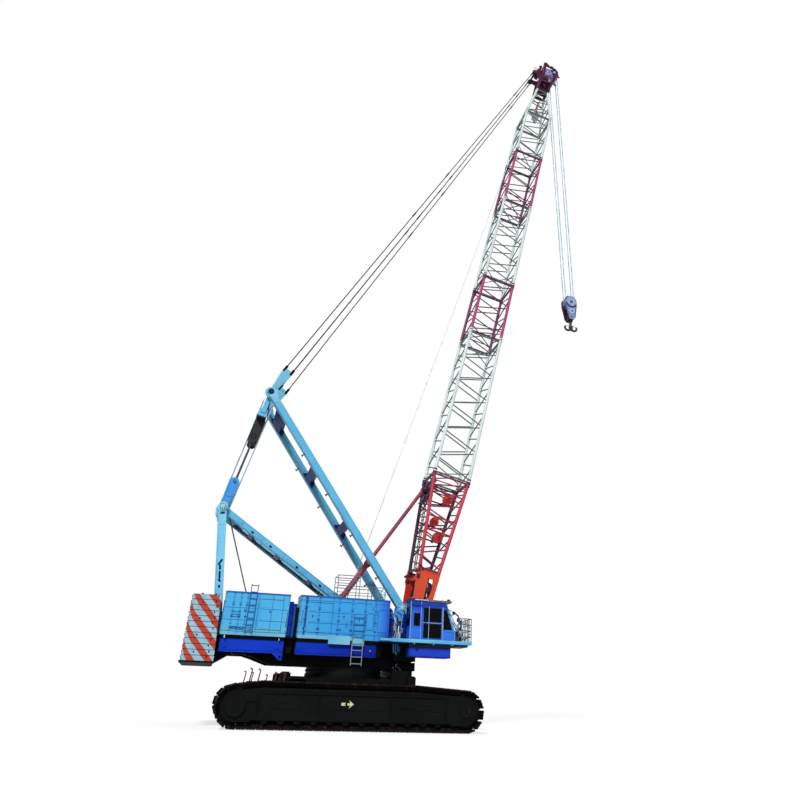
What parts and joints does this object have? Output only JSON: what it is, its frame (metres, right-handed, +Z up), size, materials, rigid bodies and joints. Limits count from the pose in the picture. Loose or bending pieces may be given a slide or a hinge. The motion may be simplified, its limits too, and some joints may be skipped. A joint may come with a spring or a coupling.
{
  "type": "crawler crane with lattice boom, 1:2 scale model",
  "caption": "Crawler crane with a raised lattice boom, rear mast and gantry, stacked counterweights, machinery houses, cab, stay ropes and hook.",
  "frame": {"origin": "on the ground, midway between the tracks, under the swing axis", "axes": "+X forward towards the boom, +Y to the left, +Z up"},
  "size_m": [10.443, 3.92, 23.9009],
  "materials": {
    "track_steel": "dry dusty black",
    "chassis_blue": "satin dark blue",
    "deck_blue": "satin",
    "hood_blue": "satin",
    "cab_blue": "satin",
    "weight_blue": "weathered pale blue",
    "mast_blue": "satin light blue",
    "gantry_blue": "satin pale blue",
    "boom_orange": "satin",
    "boom_crimson": "satin",
    "boom_white": "satin",
    "head_maroon": "satin",
    "machine_grey": "satin",
    "sheave_grey": "satin lilac grey",
    "drum_steel": "oiled",
    "rope_steel": "oiled wire",
    "rail_blue": "satin",
    "seat_black": "matt",
    "hook_steel": "worn",
    "glass": "clear"
  },
  "bodies": {
    "undercarriage": {"carbody": "chassis_blue", "slew_ring": "machine_grey", "right_track_frame": "chassis_blue", "left_track_frame": "chassis_blue", "right_track": "track_steel", "left_track": "track_steel", "drive_sprockets": "track_steel", "idlers": "track_steel", "track_rollers": "track_steel", "carbody_jacks": "machine_grey"},
    "upperworks": {"revolving_frame": "deck_blue", "side_beams": "deck_blue", "counterweight_tray": "machine_grey", "right_counterweight": "weight_blue", "left_counterweight": "weight_blue", "right_rear_house": "hood_blue", "right_front_house": "hood_blue", "left_rear_house": "hood_blue", "left_front_house": "hood_blue", "engine": "machine_grey", "gantry_rear_legs": "gantry_blue", "gantry_front_legs": "mast_blue", "gantry_head": "sheave_grey", "winch_stands": "deck_blue", "foot_brackets": "deck_blue", "cab_shell": "cab_blue", "cab_glass": "glass", "cab_seat": "seat_black", "cab_platform": "deck_blue", "ladders": "rail_blue", "roof_rails": "rail_blue"},
    "right_rear_hood_door": {"right_rear_house_door": "hood_blue"},
    "right_front_hood_door": {"right_front_house_door": "hood_blue"},
    "left_front_hood_door": {"left_front_house_door": "hood_blue"},
    "cab_slide_door": {"cab_door": "cab_blue", "cab_door_glass": "glass"},
    "hoist_winch": {"hoist_drum": "drum_steel"},
    "luffing_winch": {"luffing_drum": "drum_steel"},
    "lower_spreader_frame": {"lower_spreader": "head_maroon"},
    "upper_spreader_frame": {"upper_spreader": "deck_blue"},
    "boom": {"boom_foot": "boom_orange", "boom_base": "boom_crimson", "boom_insert_1": "boom_white", "boom_insert_2": "boom_crimson", "boom_insert_3": "boom_white", "boom_insert_4": "boom_crimson", "boom_insert_5": "boom_white", "boom_top": "boom_white", "boom_head": "head_maroon", "head_sheaves": "sheave_grey", "guide_sheaves": "boom_orange", "backstop": "gantry_blue"},
    "mast": {"right_mast_beam": "mast_blue", "left_mast_beam": "mast_blue", "mast_crossbeams": "deck_blue"},
    "stays": {"pendant_stays": "rope_steel"},
    "fall_ropes": {"hoist_falls": "rope_steel"},
    "hook_block_body": {"hook_block": "head_maroon"},
    "hook_body": {"hook": "hook_steel"}
  },
  "joints": [
    {"name": "swing", "type": "hinge", "parent": "undercarriage", "child": "upperworks", "pos_m": [0, 0, 1.16775], "axis": [0, 0, 1], "continuous": true},
    {"name": "boom_luff", "type": "hinge", "parent": "upperworks", "child": "boom", "pos_m": [1.566, 0, 2.097], "axis": [0, 1, 0], "range_deg": [0, 47]},
    {"name": "mast_luff", "type": "hinge", "parent": "upperworks", "child": "mast", "pos_m": [1.128, 0, 2.452], "axis": [0, 1, 0], "range_deg": [-1, 53]},
    {"name": "stays_swing", "type": "hinge", "parent": "boom", "child": "stays", "pos_m": [5.65005, 0, 23.05919], "axis": [0, 1, 0], "range_deg": [-1.5, 0.5]},
    {"name": "falls_hang", "type": "hinge", "parent": "boom", "child": "fall_ropes", "pos_m": [6.56094, 0, 23.40129], "axis": [0, 1, 0], "range_deg": [-48, 0.5]},
    {"name": "hoist", "type": "slide", "parent": "fall_ropes", "child": "hook_block_body", "axis": [0, 0, 1], "range_m": [-9.5, 8.5], "deforming": ["hoist_falls"]},
    {"name": "hook_swivel", "type": "hinge", "parent": "hook_block_body", "child": "hook_body", "pos_m": [6.56094, 0, 11.7], "axis": [0, 0, 1], "continuous": true},
    {"name": "lower_spreader_swing", "type": "hinge", "parent": "upperworks", "child": "lower_spreader_frame", "pos_m": [-3.344, 0, 4.432], "axis": [0, 1, 0], "range_deg": [-1, 47]},
    {"name": "upper_spreader_swing", "type": "hinge", "parent": "mast", "child": "upper_spreader_frame", "pos_m": [-2.688, 0, 7.40181], "axis": [0, 1, 0], "range_deg": [-8, 1]},
    {"name": "cab_door_slide", "type": "slide", "parent": "upperworks", "child": "cab_slide_door", "axis": [-1, 0, 0], "range_m": [0, 0.25]},
    {"name": "right_rear_hood_door_hinge", "type": "hinge", "parent": "upperworks", "child": "right_rear_hood_door", "pos_m": [-2.18, -1.252, 2.1], "axis": [0, 0, -1], "range_deg": [0, 100]},
    {"name": "right_front_hood_door_hinge", "type": "hinge", "parent": "upperworks", "child": "right_front_hood_door", "pos_m": [-1.12, -1.252, 2.1], "axis": [0, 0, -1], "range_deg": [0, 100]},
    {"name": "left_front_hood_door_hinge", "type": "hinge", "parent": "upperworks", "child": "left_front_hood_door", "pos_m": [-1.12, 1.252, 2.1], "axis": [0, 0, 1], "range_deg": [0, 100]},
    {"name": "hoist_winch_turn", "type": "hinge", "parent": "upperworks", "child": "hoist_winch", "pos_m": [-0.44, 0, 2.03], "axis": [0, 1, 0], "continuous": true},
    {"name": "luffing_winch_turn", "type": "hinge", "parent": "upperworks", "child": "luffing_winch", "pos_m": [-2.05, 0, 2], "axis": [0, 1, 0], "continuous": true}
  ],
  "couplings": [
    {"joint": "mast_luff", "follows": "boom_luff", "ratio": 1.0965},
    {"joint": "stays_swing", "follows": "boom_luff", "ratio": -0.0195},
    {"joint": "falls_hang", "follows": "boom_luff", "ratio": -1},
    {"joint": "lower_spreader_swing", "follows": "boom_luff", "ratio": 0.96},
    {"joint": "upper_spreader_swing", "follows": "boom_luff", "ratio": -0.1365}
  ]
}
